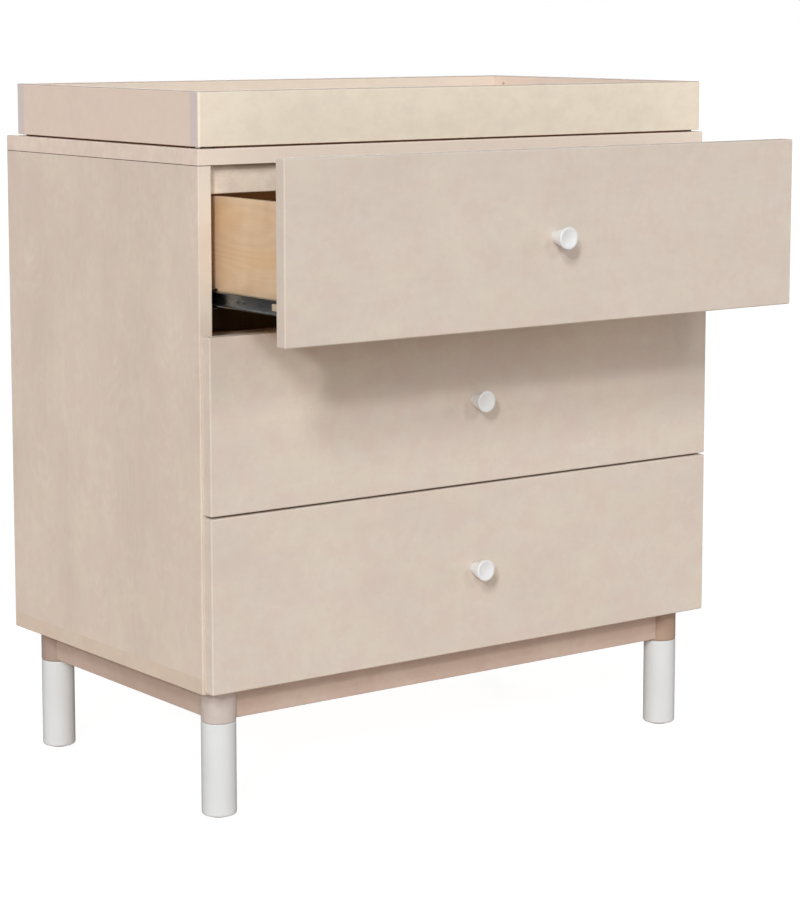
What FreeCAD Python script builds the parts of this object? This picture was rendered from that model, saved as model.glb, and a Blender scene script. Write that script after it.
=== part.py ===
import FreeCAD, Part
import math
import os

from FreeCAD import Vector

os.makedirs("parts", exist_ok=True)

# A three-drawer changing dresser on a leg frame, with a lift-off tray on its top.
# Millimetres. X runs along the width, the drawers open towards -Y, +Z is up.
# The origin is on the floor, under the middle of the whole dresser as it stands
# here: top drawer part open, middle and bottom drawers shut.

# ---------------------------------------------------------------- driving sizes

# Case
case_width = 864.0
case_depth = 499.0
case_height = 703.0
side_thickness = 20.0
top_thickness = 21.0
bottom_thickness = 21.0
back_thickness = 6.0
back_rabbet = 10.0
case_edge_round = 1.5
top_joint_round = 0.8

# Rails across the case
front_rail_height = 37.0
front_rail_thickness = 20.0
front_rail_recess = 12.0
divider_thickness = 18.0
divider_depth = 60.0
divider_drop = 6.0

# Leg frame
leg_diameter = 46.5
leg_post_height = 46.0
leg_inset_side = 43.5
leg_inset_front = 31.0
leg_inset_back = 44.0
foot_height = 127.0
foot_bottom_round = 3.5
foot_top_round = 0.8
post_bottom_round = 2.2
base_rail_height = 43.0
base_rail_thickness = 25.0
base_rail_round = 1.5
bolt_diameter = 8.0
bolt_into_foot = 40.0
bolt_into_case = 12.0
glide_diameter = 30.0
glide_height = 4.0
glide_showing = 2.0

# Drawer fronts
front_thickness = 17.5
front_reveal = 4.0
front_top_margin = 4.0
front_bottom_margin = 2.0
front_gap = 2.8
front_edge_round = 2.0
top_drawer_opening = 169.0

# Drawer boxes
box_back_space = 38.0
box_height = 140.5
box_raise = 33.0
box_board_thickness = 12.0
box_edge_round = 1.0
box_bottom_thickness = 6.0
box_groove_depth = 6.0
box_groove_raise = 10.0

# Ball-bearing drawer slides
slide_space = 12.7
slide_setback = 2.0
slide_end_margin = 3.0
slide_raise = 11.3
slide_travel = 330.0
slide_sheet = 1.2
case_member_height = 27.0
case_member_depth = 9.5
case_member_round = 2.4
case_member_lip = 2.4
drawer_member_height = 18.7
drawer_member_depth = 9.0
drawer_member_round = 1.6
cage_length = 110.0
cage_sheet = 0.7
cage_gap = 0.8
cage_flange = 5.8
ball_clearance = 0.3
ball_pocket_clearance = 0.2
balls_per_race = 2
ball_end_margin = 12.0
bumper_length = 41.0
bumper_height = 9.0
bumper_depth = 6.0

# Knobs
knob_length = 26.0
knob_base_diameter = 16.0
knob_face_diameter = 29.5
knob_rim_round = 1.3
knob_rim_width = 1.7
knob_dish_depth = 2.0
knob_screw_depth = 14.0
knob_screw_diameter = 4.0

# Screws that hold a front to its box
front_screw_diameter = 4.0
front_screw_depth = 11.0
front_screw_inset = 60.0
front_screw_edge = 32.0
screw_head_diameter = 8.5
screw_head_height = 2.4

# Dowels
dowel_diameter = 8.0
dowel_length = 30.0
dowel_end_margin = 60.0
side_end_dowels = 3

# Tray
tray_side_inset = 3.5
tray_front_inset = 3.0
tray_back_inset = 25.5
tray_height = 70.0
tray_board_thickness = 20.0
tray_corner_round = 3.5
tray_top_round = 2.2
tray_bottom_round = 1.0
tray_pad_diameter = 14.0
tray_pad_height = 2.5
tray_pad_end_inset = 17.0
tray_dowel_margin = 18.0
strap_hole_diameter = 5.0
strap_hole_depth = 10.0
strap_hole_from_corner = 23.0
strap_hole_below_top = 12.5

# Clearances
panel_clearance = 0.5
groove_clearance = 0.3
hole_clearance = 0.1

# ------------------------------------------------------------- worked-out places

half_width = case_width / 2
half_inside = half_width - side_thickness
front_reach = top_drawer_opening + front_thickness + knob_length
case_front = (front_reach - case_depth) / 2
case_back = case_front + case_depth
case_bottom = foot_height + leg_post_height
case_top = case_bottom + case_height
top_underside = case_top - top_thickness
bottom_inside = case_bottom + bottom_thickness
back_face = case_back - back_thickness

front_count = 3
front_stack = case_height - front_bottom_margin - front_top_margin
front_height = (front_stack - (front_count - 1) * front_gap) / front_count
front_pitch = front_height + front_gap
first_front_bottom = case_bottom + front_bottom_margin
half_front = half_width - front_reveal

half_box = half_inside - slide_space
box_depth = back_face - box_back_space - case_front
half_box_inside = half_box - box_board_thickness
slide_front = case_front + slide_setback
slide_length = box_depth - slide_setback - slide_end_margin

leg_x = half_width - leg_inset_side
leg_front_y = case_front + leg_inset_front
leg_back_y = case_back - leg_inset_back
base_rail_bottom = case_bottom - base_rail_height

# From the bottom drawer up: name, bottom edge of the front, and how far it is open.
drawers = [
    ("bottom_drawer", first_front_bottom, 0.0),
    ("middle_drawer", first_front_bottom + front_pitch, 0.0),
    ("top_drawer", first_front_bottom + 2 * front_pitch, top_drawer_opening),
]
sides = (("left", -1), ("right", 1))

X_AXIS = Vector(1, 0, 0)
Y_AXIS = Vector(0, 1, 0)
Z_AXIS = Vector(0, 0, 1)


# ------------------------------------------------------------------ shape helpers

def block(x_range, y_range, z_range):
    """A box between two limits on each axis, given in either order."""
    low = Vector(min(x_range), min(y_range), min(z_range))
    high = Vector(max(x_range), max(y_range), max(z_range))
    size = high - low
    return Part.makeBox(size.x, size.y, size.z, low)


def rod(start, axis, diameter, length):
    """A cylinder that begins at start and runs along axis."""
    return Part.makeCylinder(diameter / 2, length, start, axis)


def centred_rod(centre, axis, diameter, length):
    """A cylinder whose middle is at centre."""
    return rod(centre - axis * (length / 2), axis, diameter, length)


def runs_along(edge, axis):
    """True for a straight edge that lies along axis."""
    if edge.Curve.TypeId != "Part::GeomLine":
        return False
    return abs(edge.tangentAt(edge.FirstParameter).dot(axis)) > 1 - 1e-9


def round_edges(shape, radius, choose):
    """Round the edges that choose() picks by their middle point and direction."""
    edges = [
        edge for edge in shape.Edges
        if not edge.Degenerated and choose(edge.CenterOfMass, edge)
    ]
    return shape.makeFillet(radius, edges)


def cut_all(shape, tools):
    """Take every tool away from the shape."""
    for tool in tools:
        shape = shape.cut(tool)
    return shape


def spaced(first, last, count):
    """Evenly spaced places from first to last, both included."""
    step = (last - first) / (count - 1)
    return [first + step * number for number in range(count)]


def export(node, solids):
    """Write one node: a single solid, or a group of separate ones."""
    shape = solids[0] if len(solids) == 1 else Part.makeCompound(solids)
    shape.exportStep(os.path.join("parts", node + ".step"))


# -------------------------------------------------------------------- dowel joints

def dowels_at(places, axis):
    """The dowels of one row, each centred on the face where its boards meet."""
    return [centred_rod(place, axis, dowel_diameter, dowel_length) for place in places]


def dowel_holes_at(places, axis):
    """The holes for a row of dowels, both halves of each in one tool."""
    diameter = dowel_diameter + 2 * hole_clearance
    length = dowel_length + 2 * hole_clearance
    return [centred_rod(place, axis, diameter, length) for place in places]


def end_dowel_places(side, joint_z):
    """Where dowels stand in the top or the bottom edge of a side panel."""
    x = side * (half_width - side_thickness / 2)
    rows = spaced(case_front + dowel_end_margin, back_face - dowel_end_margin, side_end_dowels)
    return [Vector(x, y, joint_z) for y in rows]


def rail_dowel_place(side, y_range, z_range):
    """Where one dowel joins the middle of a rail's end to a side panel."""
    return Vector(side * half_inside, sum(y_range) / 2, sum(z_range) / 2)


# ---------------------------------------------------------------------- case rails

front_rail_y = (
    case_front + front_rail_recess,
    case_front + front_rail_recess + front_rail_thickness,
)
divider_y = (
    case_front + front_rail_recess,
    case_front + front_rail_recess + divider_depth,
)


def divider_z(front_bottom):
    """The height of the rail behind the top edge of a front, out of sight."""
    top = front_bottom + front_height - divider_drop
    return (top - divider_thickness, top)


rails = {
    "top_front_rail": (front_rail_y, (top_underside - front_rail_height, top_underside)),
    "upper_divider_rail": (divider_y, divider_z(drawers[1][1])),
    "lower_divider_rail": (divider_y, divider_z(drawers[0][1])),
}


def make_rail(y_range, z_range):
    """A rail between the side panels, with a dowel hole in each end."""
    rail = block((-half_inside, half_inside), y_range, z_range)
    rail = round_edges(
        rail,
        case_edge_round,
        lambda middle, edge: runs_along(edge, X_AXIS) and middle.y < sum(y_range) / 2
        and middle.z < sum(z_range) / 2,
    )
    places = [rail_dowel_place(side, y_range, z_range) for _, side in sides]
    return cut_all(rail, dowel_holes_at(places, X_AXIS))


# --------------------------------------------------------------------- case panels

def side_dowel_tools(side):
    """Every dowel hole in one side panel."""
    tools = []
    for joint_z in (bottom_inside, top_underside):
        tools += dowel_holes_at(end_dowel_places(side, joint_z), Z_AXIS)
    rail_places = [rail_dowel_place(side, *spans) for spans in rails.values()]
    return tools + dowel_holes_at(rail_places, X_AXIS)


def make_side_panel(side):
    """A side panel with eased edges, softened where the top meets it, rabbeted for the back."""
    panel = block(
        (side * half_width, side * half_inside),
        (case_front, case_back),
        (bottom_inside, top_underside),
    )
    panel = round_edges(
        panel,
        case_edge_round,
        lambda middle, edge: runs_along(edge, Z_AXIS)
        and (middle.y < (case_front + case_back) / 2
             or abs(middle.x) > half_width - side_thickness / 2),
    )
    panel = round_edges(
        panel,
        top_joint_round,
        lambda middle, edge: runs_along(edge, Y_AXIS)
        and abs(middle.x) > half_width - side_thickness / 2
        and middle.z > top_underside - top_joint_round,
    )
    rabbet = block(
        (side * half_inside, side * (half_inside + back_rabbet)),
        (back_face, case_back),
        (bottom_inside, top_underside),
    )
    return cut_all(panel, [rabbet] + side_dowel_tools(side))


def blank_end_panel(outer_z, joint_z):
    """A panel over the ends of both sides, with its corners and outer edges softened."""
    panel = block((-half_width, half_width), (case_front, case_back), (outer_z, joint_z))
    return round_edges(
        panel,
        case_edge_round,
        lambda middle, edge: runs_along(edge, Z_AXIS)
        or abs(middle.z - outer_z) < abs(middle.z - joint_z),
    )


def fit_end_panel(panel, outer_z, joint_z):
    """Cut the back's rabbet and the dowel holes into the face that meets the sides."""
    reach = half_inside + back_rabbet
    rabbet_floor = joint_z + math.copysign(back_rabbet, outer_z - joint_z)
    tools = [block((-reach, reach), (back_face, case_back), (joint_z, rabbet_floor))]
    for _, side in sides:
        tools += dowel_holes_at(end_dowel_places(side, joint_z), Z_AXIS)
    return cut_all(panel, tools)


def make_top_panel():
    """The top, which lies over both sides, also softened where it meets them."""
    panel = blank_end_panel(case_top, top_underside)
    panel = round_edges(
        panel,
        top_joint_round,
        lambda middle, edge: runs_along(edge, Y_AXIS)
        and abs(middle.x) > half_width - side_thickness / 2
        and middle.z < top_underside + top_joint_round,
    )
    return fit_end_panel(panel, case_top, top_underside)


def leg_places():
    """The four leg axes at case bottom height, with the words that name each."""
    return [
        (end + "_" + hand, Vector(side * leg_x, y, case_bottom))
        for end, y in (("front", leg_front_y), ("back", leg_back_y))
        for hand, side in sides
    ]


def make_bottom_panel():
    """The bottom, which lies under both sides, with blind holes for the leg bolts."""
    panel = fit_end_panel(blank_end_panel(case_bottom, bottom_inside), case_bottom, bottom_inside)
    diameter = bolt_diameter + 2 * hole_clearance
    bores = [
        rod(place, Z_AXIS, diameter, bolt_into_case + hole_clearance) for _, place in leg_places()
    ]
    return cut_all(panel, bores)


def make_back_panel():
    """The back, laid into the rabbets of the sides, the top and the bottom."""
    lap = back_rabbet - panel_clearance
    return block(
        (-half_inside - lap, half_inside + lap),
        (back_face, case_back),
        (bottom_inside - lap, top_underside + lap),
    )


def make_case_dowels():
    """All the dowels that hold the case together."""
    solids = []
    for _, side in sides:
        for joint_z in (bottom_inside, top_underside):
            solids += dowels_at(end_dowel_places(side, joint_z), Z_AXIS)
        rail_places = [rail_dowel_place(side, *spans) for spans in rails.values()]
        solids += dowels_at(rail_places, X_AXIS)
    return solids


def export_case():
    """Panels, rails and dowels of the case."""
    for hand, side in sides:
        export(hand + "_side_panel", [make_side_panel(side)])
    export("top_panel", [make_top_panel()])
    export("bottom_panel", [make_bottom_panel()])
    export("back_panel", [make_back_panel()])
    for name, (y_range, z_range) in rails.items():
        export(name, [make_rail(y_range, z_range)])
    export("case_dowels", make_case_dowels())


# ----------------------------------------------------------------------- leg frame

def make_leg_post(place):
    """The wooden upper part of a leg, with a rounded lower edge, bored for its bolt."""
    foot_top = Vector(place.x, place.y, foot_height)
    post = rod(foot_top, Z_AXIS, leg_diameter, leg_post_height)
    post = round_edges(post, post_bottom_round, lambda middle, edge: edge.Closed
                       and middle.z < foot_height + leg_post_height / 2)
    bore = rod(foot_top, Z_AXIS, bolt_diameter + 2 * hole_clearance, leg_post_height)
    return post.cut(bore)


def make_foot(place):
    """The painted lower part of a leg, recessed underneath for its glide."""
    base = Vector(place.x, place.y, glide_showing)
    height = foot_height - glide_showing
    foot = rod(base, Z_AXIS, leg_diameter, height)
    foot = round_edges(foot, foot_bottom_round, lambda middle, edge: edge.Closed
                       and middle.z < height / 2)
    foot = round_edges(foot, foot_top_round, lambda middle, edge: edge.Closed
                       and middle.z > foot_height - foot_top_round / 2)
    recess = rod(base, Z_AXIS, glide_diameter + 2 * hole_clearance, glide_height - glide_showing)
    depth = bolt_into_foot + hole_clearance
    start = Vector(place.x, place.y, foot_height - depth)
    bore = rod(start, Z_AXIS, bolt_diameter + 2 * hole_clearance, depth)
    return cut_all(foot, [recess, bore])


def make_leg_bolt(place):
    """A bolt that ties foot, post and case bottom together."""
    start = Vector(place.x, place.y, foot_height - bolt_into_foot)
    length = bolt_into_foot + leg_post_height + bolt_into_case
    return rod(start, Z_AXIS, bolt_diameter, length)


def make_glide(place):
    """A plastic glide let into the underside of a foot."""
    return rod(Vector(place.x, place.y, 0), Z_AXIS, glide_diameter, glide_height)


def make_base_rail(first_leg, second_leg):
    """A rail from leg to leg, its ends coped to the round posts."""
    axis = (second_leg - first_leg).normalize()
    half = base_rail_thickness / 2
    across = Vector(axis.y, axis.x, 0) * half
    low = first_leg - across
    high = second_leg + across
    rail = block((low.x, high.x), (low.y, high.y), (base_rail_bottom, case_bottom))
    rail = round_edges(
        rail,
        base_rail_round,
        lambda middle, edge: runs_along(edge, axis)
        and middle.z < base_rail_bottom + base_rail_height / 2,
    )
    posts = [
        rod(Vector(leg.x, leg.y, base_rail_bottom), Z_AXIS, leg_diameter, base_rail_height)
        for leg in (first_leg, second_leg)
    ]
    return cut_all(rail, posts)


def export_base():
    """Posts, feet, bolts, glides and the four rails between the posts."""
    places = leg_places()
    for name, place in places:
        export(name + "_leg_post", [make_leg_post(place)])
        export(name + "_foot", [make_foot(place)])
    export("leg_bolts", [make_leg_bolt(place) for _, place in places])
    export("floor_glides", [make_glide(place) for _, place in places])
    at = dict(places)
    export("base_front_rail", [make_base_rail(at["front_left"], at["front_right"])])
    export("base_back_rail", [make_base_rail(at["back_left"], at["back_right"])])
    export("base_left_rail", [make_base_rail(at["front_left"], at["back_left"])])
    export("base_right_rail", [make_base_rail(at["front_right"], at["back_right"])])


# --------------------------------------------------------------------------- slides

def slide_height(front_bottom):
    """The height of a slide's centre line above the floor."""
    return front_bottom + box_raise + slide_raise


def channel(x_range, y_range, centre_z, height, corner_round):
    """A rolled sheet tube before its mouth is opened: outside less inside."""
    z_range = (centre_z - height / 2, centre_z + height / 2)
    outside = block(x_range, y_range, z_range)
    outside = round_edges(outside, corner_round, lambda middle, edge: runs_along(edge, Y_AXIS))
    x_inside = (min(x_range) + slide_sheet, max(x_range) - slide_sheet)
    z_inside = (z_range[0] + slide_sheet, z_range[1] - slide_sheet)
    inside = block(x_inside, y_range, z_inside)
    inside = round_edges(
        inside, corner_round - slide_sheet, lambda middle, edge: runs_along(edge, Y_AXIS)
    )
    return outside.cut(inside)


def make_case_member(side, front_bottom):
    """The outer member: a channel whose lips turn in to hold the ball races."""
    centre_z = slide_height(front_bottom)
    wall = side * half_inside
    mouth = wall - side * case_member_depth
    y_range = (slide_front, slide_front + slide_length)
    member = channel((wall, mouth), y_range, centre_z, case_member_height, case_member_round)
    half_mouth = case_member_height / 2 - slide_sheet - case_member_lip
    opening = block(
        (mouth, mouth + side * slide_sheet),
        y_range,
        (centre_z - half_mouth, centre_z + half_mouth),
    )
    return member.cut(opening)


def make_drawer_member(side, front_bottom, opening):
    """The inner member, open towards the case, its back on the drawer side."""
    centre_z = slide_height(front_bottom)
    wall = side * half_box
    flange_tip = wall + side * drawer_member_depth
    start = slide_front - opening
    y_range = (start, start + slide_length)
    x_range = (wall, flange_tip + side * slide_sheet)
    member = channel(x_range, y_range, centre_z, drawer_member_height, drawer_member_round)
    half = drawer_member_height / 2
    mouth = block(
        (flange_tip - side * slide_sheet, flange_tip + side * slide_sheet),
        y_range,
        (centre_z - half, centre_z + half),
    )
    return member.cut(mouth)


def make_bumper(side, front_bottom, opening):
    """The soft stop clipped into the front end of the inner member."""
    centre_z = slide_height(front_bottom)
    web = side * (half_box + slide_sheet)
    start = slide_front - opening
    bumper = block(
        (web, web + side * bumper_depth),
        (start, start + bumper_length),
        (centre_z - bumper_height / 2, centre_z + bumper_height / 2),
    )
    return round_edges(
        bumper,
        slide_sheet,
        lambda middle, edge: runs_along(edge, Y_AXIS) and abs(middle.x) > abs(web) + slide_sheet,
    )


# The balls run between the outside of the inner member and the inside of the outer one.
race_inner = drawer_member_height / 2
race_outer = case_member_height / 2 - slide_sheet
race_middle = (race_inner + race_outer) / 2
ball_diameter = race_outer - race_inner - 2 * ball_clearance
cage_web_x = half_inside - slide_sheet - cage_gap
cage_overlap = slide_length - slide_travel
cage_start = slide_front + slide_travel / 2 + (cage_overlap - cage_length) / 2


def ball_places(side, front_bottom, opening):
    """The ball centres of one cage, in two rows above and below the slide."""
    centre_z = slide_height(front_bottom)
    start = cage_start - opening / 2
    x = side * (cage_web_x - cage_flange / 2)
    rows = spaced(start + ball_end_margin, start + cage_length - ball_end_margin, balls_per_race)
    return [
        Vector(x, y, centre_z + level * race_middle)
        for level in (-1, 1)
        for y in rows
    ]


def make_ball_cage(side, front_bottom, opening):
    """The cage that keeps the balls apart, bent round the inner member."""
    centre_z = slide_height(front_bottom)
    start = cage_start - opening / 2
    reach = race_middle + cage_sheet / 2
    back = side * cage_web_x
    y_range = (start, start + cage_length)
    outside = block((back, back - side * cage_flange), y_range, (centre_z - reach, centre_z + reach))
    inside = block(
        (back - side * cage_sheet, back - side * cage_flange),
        y_range,
        (centre_z - reach + cage_sheet, centre_z + reach - cage_sheet),
    )
    pockets = [
        centred_rod(place, Z_AXIS, ball_diameter + 2 * ball_pocket_clearance, 2 * cage_sheet)
        for place in ball_places(side, front_bottom, opening)
    ]
    return cut_all(outside, [inside] + pockets)


def make_balls(side, front_bottom, opening):
    """The balls of one cage."""
    return [
        Part.makeSphere(ball_diameter / 2, place)
        for place in ball_places(side, front_bottom, opening)
    ]


# -------------------------------------------------------------------------- drawers

def front_screw_places(front_bottom, y):
    """Where screws pass from the box front into the drawer front."""
    x = half_box_inside - front_screw_inset
    low = front_bottom + box_raise + front_screw_edge
    high = front_bottom + box_raise + box_height - front_screw_edge
    return [Vector(side * x, y, z) for _, side in sides for z in (low, high)]


def knob_place(front_bottom, y):
    """The middle of a front, where its knob stands."""
    return Vector(0, y, front_bottom + front_height / 2)


def make_front(front_bottom, back_y):
    """A full overlay front with eased edges, bored for its knob and its screws."""
    face_y = back_y - front_thickness
    front = block(
        (-half_front, half_front),
        (face_y, back_y),
        (front_bottom, front_bottom + front_height),
    )
    front = round_edges(
        front, front_edge_round, lambda middle, edge: middle.y < back_y - front_thickness / 4
    )
    shank = knob_screw_diameter + 2 * hole_clearance
    tools = [rod(knob_place(front_bottom, face_y), Y_AXIS, shank, front_thickness)]
    for place in front_screw_places(front_bottom, back_y):
        diameter = front_screw_diameter + 2 * hole_clearance
        tools.append(rod(place, -Y_AXIS, diameter, front_screw_depth + hole_clearance))
    return cut_all(front, tools)


def make_knob(front_bottom, face_y):
    """A turned knob that flares from its foot to a dished face."""
    base = knob_base_diameter / 2
    # The rim is an arc that runs smoothly from the cone to the face.
    arc_x = knob_face_diameter / 2 - knob_rim_round
    arc_y = knob_length - knob_rim_round
    reach = math.hypot(arc_x - base, arc_y)
    slope = math.atan2(arc_x - base, arc_y) + math.asin(knob_rim_round / reach)
    on_cone = (arc_x + knob_rim_round * math.cos(slope), arc_y - knob_rim_round * math.sin(slope))
    on_face = (arc_x, knob_length)
    turn = (math.pi / 2 - slope) / 2
    half_way = (
        arc_x + knob_rim_round * math.cos(turn),
        arc_y + knob_rim_round * math.sin(turn),
    )
    dish_edge = (on_face[0] - knob_rim_width, knob_length)
    dish_floor = (0.0, knob_length - knob_dish_depth)
    dish_radius = (dish_edge[0] ** 2 + knob_dish_depth ** 2) / (2 * knob_dish_depth)
    dish_turn = math.asin(dish_edge[0] / dish_radius) / 2
    dish_mid = (
        dish_radius * math.sin(dish_turn),
        knob_length - knob_dish_depth + dish_radius * (1 - math.cos(dish_turn)),
    )

    def at(point):
        return Vector(point[0], face_y - point[1], 0)

    outline = Part.Wire([
        Part.LineSegment(at((0.0, 0.0)), at((base, 0.0))).toShape(),
        Part.LineSegment(at((base, 0.0)), at(on_cone)).toShape(),
        Part.Arc(at(on_cone), at(half_way), at(on_face)).toShape(),
        Part.LineSegment(at(on_face), at(dish_edge)).toShape(),
        Part.Arc(at(dish_edge), at(dish_mid), at(dish_floor)).toShape(),
        Part.LineSegment(at(dish_floor), at((0.0, 0.0))).toShape(),
    ])
    knob = Part.Face(outline).revolve(Vector(0, 0, 0), Y_AXIS, 360)
    knob.translate(knob_place(front_bottom, 0))
    depth = knob_screw_depth + hole_clearance
    diameter = knob_screw_diameter + 2 * hole_clearance
    return knob.cut(rod(knob_place(front_bottom, face_y), -Y_AXIS, diameter, depth))


def make_screw(head_seat, diameter, length):
    """A pan-head screw that points out of the drawer from its seat."""
    head = rod(head_seat, Y_AXIS, screw_head_diameter, screw_head_height)
    shank = rod(head_seat, -Y_AXIS, diameter, length)
    return head.fuse(shank).removeSplitter()


def make_drawer_screws(front_bottom, back_y):
    """The knob's screw and the four that hold the front to the box."""
    seat_y = back_y + box_board_thickness
    knob_length_in_wood = box_board_thickness + front_thickness + knob_screw_depth
    solids = [
        make_screw(knob_place(front_bottom, seat_y), knob_screw_diameter, knob_length_in_wood)
    ]
    front_length = box_board_thickness + front_screw_depth
    for place in front_screw_places(front_bottom, seat_y):
        solids.append(make_screw(place, front_screw_diameter, front_length))
    return solids


def box_heights(front_bottom):
    """The lower and upper edge of a drawer box."""
    bottom = front_bottom + box_raise
    return (bottom, bottom + box_height)


def bottom_groove(front_bottom, y_range):
    """The space the drawer bottom needs in the boards round it."""
    low = front_bottom + box_raise + box_groove_raise
    reach = half_box_inside + box_groove_depth
    return block((-reach, reach), y_range, (low, low + box_bottom_thickness + groove_clearance))


def make_box_side(side, front_bottom, back_y):
    """A side board of the box, grooved for the bottom, its top edge rounded over."""
    y_range = (back_y, back_y + box_depth)
    z_range = box_heights(front_bottom)
    board = block((side * half_box_inside, side * half_box), y_range, z_range)
    board = round_edges(
        board,
        box_edge_round,
        lambda middle, edge: runs_along(edge, Y_AXIS) and middle.z > sum(z_range) / 2,
    )
    groove_y = (back_y + box_board_thickness - box_groove_depth, back_y + box_depth)
    return board.cut(bottom_groove(front_bottom, groove_y))


def make_box_front(front_bottom, back_y):
    """The inner front of the box, grooved for the bottom and bored for screws."""
    z_range = box_heights(front_bottom)
    inner_y = back_y + box_board_thickness
    board = block((-half_box_inside, half_box_inside), (back_y, inner_y), z_range)
    tools = [bottom_groove(front_bottom, (inner_y - box_groove_depth, inner_y))]
    knob_hole = knob_screw_diameter + 2 * hole_clearance
    tools.append(rod(knob_place(front_bottom, back_y), Y_AXIS, knob_hole, box_board_thickness))
    screw_hole = front_screw_diameter + 2 * hole_clearance
    for place in front_screw_places(front_bottom, back_y):
        tools.append(rod(place, Y_AXIS, screw_hole, box_board_thickness))
    return cut_all(board, tools)


def make_box_back(front_bottom, back_y):
    """The back board, which stands on the drawer bottom."""
    outer_y = back_y + box_depth
    low = front_bottom + box_raise + box_groove_raise + box_bottom_thickness
    return block(
        (-half_box_inside, half_box_inside),
        (outer_y - box_board_thickness, outer_y),
        (low, box_heights(front_bottom)[1]),
    )


def make_box_bottom(front_bottom, back_y):
    """The drawer bottom, slid in from behind under the back board."""
    low = front_bottom + box_raise + box_groove_raise
    reach = half_box_inside + box_groove_depth - panel_clearance
    start = back_y + box_board_thickness - box_groove_depth + panel_clearance
    return block((-reach, reach), (start, back_y + box_depth), (low, low + box_bottom_thickness))


def export_drawer(name, front_bottom, opening):
    """One drawer at its opening: front, box, knob, screws, slides and ball cages."""
    back_y = case_front - opening
    export(name + "_front", [make_front(front_bottom, back_y)])
    export(name + "_knob", [make_knob(front_bottom, back_y - front_thickness)])
    export(name + "_screws", make_drawer_screws(front_bottom, back_y))
    export(name + "_box_front", [make_box_front(front_bottom, back_y)])
    for hand, side in sides:
        export(name + "_" + hand + "_side", [make_box_side(side, front_bottom, back_y)])
    export(name + "_back", [make_box_back(front_bottom, back_y)])
    export(name + "_bottom", [make_box_bottom(front_bottom, back_y)])
    slides = []
    cages = []
    for _, side in sides:
        slides.append(make_drawer_member(side, front_bottom, opening))
        slides.append(make_bumper(side, front_bottom, opening))
        cages.append(make_ball_cage(side, front_bottom, opening))
        cages += make_balls(side, front_bottom, opening)
    export(name + "_slides", slides)
    export(name + "_ball_cages", cages)


def export_drawers():
    """All drawers, and the slide members that stay on the case."""
    members = []
    for name, front_bottom, opening in drawers:
        export_drawer(name, front_bottom, opening)
        members += [make_case_member(side, front_bottom) for _, side in sides]
    export("slide_case_members", members)


# ----------------------------------------------------------------------------- tray

half_tray = half_width - tray_side_inset
tray_front = case_front + tray_front_inset
tray_back = case_back - tray_back_inset
tray_bottom = case_top + tray_pad_height
tray_top = tray_bottom + tray_height
side_board_y = (tray_front + tray_board_thickness, tray_back - tray_board_thickness)


def tray_dowel_places(side, y):
    """The two dowels at one corner, on the face where the boards meet."""
    x = side * (half_tray - tray_board_thickness / 2)
    levels = (tray_bottom + tray_dowel_margin, tray_top - tray_dowel_margin)
    return [Vector(x, y, z) for z in levels]


def round_tray_board(board, choose):
    """Soften the top and bottom edges of a tray board that choose() allows."""
    board = round_edges(
        board,
        tray_top_round,
        lambda middle, edge: middle.z > tray_top - tray_top_round / 2 and choose(edge),
    )
    return round_edges(
        board,
        tray_bottom_round,
        lambda middle, edge: middle.z < tray_bottom + tray_bottom_round / 2 and choose(edge),
    )


def make_tray_end_board(outer_y, joint_y):
    """The front or back board, full width, with soft outer corners."""
    board = block((-half_tray, half_tray), (outer_y, joint_y), (tray_bottom, tray_top))
    board = round_edges(
        board,
        tray_corner_round,
        lambda middle, edge: runs_along(edge, Z_AXIS)
        and abs(middle.y - outer_y) < tray_board_thickness / 2,
    )
    board = round_tray_board(board, lambda edge: True)
    places = [place for _, side in sides for place in tray_dowel_places(side, joint_y)]
    return cut_all(board, dowel_holes_at(places, Y_AXIS))


def make_tray_side_board(side):
    """A side board between the front and back boards, with the strap hole inside."""
    outer_x = side * half_tray
    inner_x = side * (half_tray - tray_board_thickness)
    board = block((outer_x, inner_x), side_board_y, (tray_bottom, tray_top))
    board = round_tray_board(board, lambda edge: runs_along(edge, Y_AXIS))
    tools = []
    for y in side_board_y:
        tools += dowel_holes_at(tray_dowel_places(side, y), Y_AXIS)
    hole = Vector(inner_x, side_board_y[1] - strap_hole_from_corner, tray_top - strap_hole_below_top)
    tools.append(rod(hole, X_AXIS * side, strap_hole_diameter, strap_hole_depth))
    return cut_all(board, tools)


def make_tray_pads():
    """Non-slip pads under the front and back boards."""
    end = half_tray - tray_pad_end_inset
    rows = (
        tray_front + tray_board_thickness / 2,
        tray_back - tray_board_thickness / 2,
    )
    return [
        rod(Vector(x, y, case_top), Z_AXIS, tray_pad_diameter, tray_pad_height)
        for y in rows
        for x in (-end, 0, end)
    ]


def export_tray():
    """The four boards of the tray, their dowels and the pads under them."""
    export("tray_front_board", [make_tray_end_board(tray_front, side_board_y[0])])
    export("tray_back_board", [make_tray_end_board(tray_back, side_board_y[1])])
    dowels = []
    for hand, side in sides:
        export("tray_" + hand + "_board", [make_tray_side_board(side)])
        for y in side_board_y:
            dowels += dowels_at(tray_dowel_places(side, y), Y_AXIS)
    export("tray_dowels", dowels)
    export("tray_pads", make_tray_pads())


export_case()
export_base()
export_drawers()
export_tray()
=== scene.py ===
"""The looks of a changing dresser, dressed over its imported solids.

The solids stay where they are and take their finishes here. Small fittings that the solids
leave out, or hold only in plain form, are meshed here and ride on the bodies that carry
them. Every length is in metres, in the frame of the solids.
"""

import logging
import math
from collections.abc import Mapping, Sequence
from dataclasses import dataclass, field
from enum import Enum
from functools import partial
from typing import Any, Self

import bmesh
import bpy
from mathutils import Matrix, Vector


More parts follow.
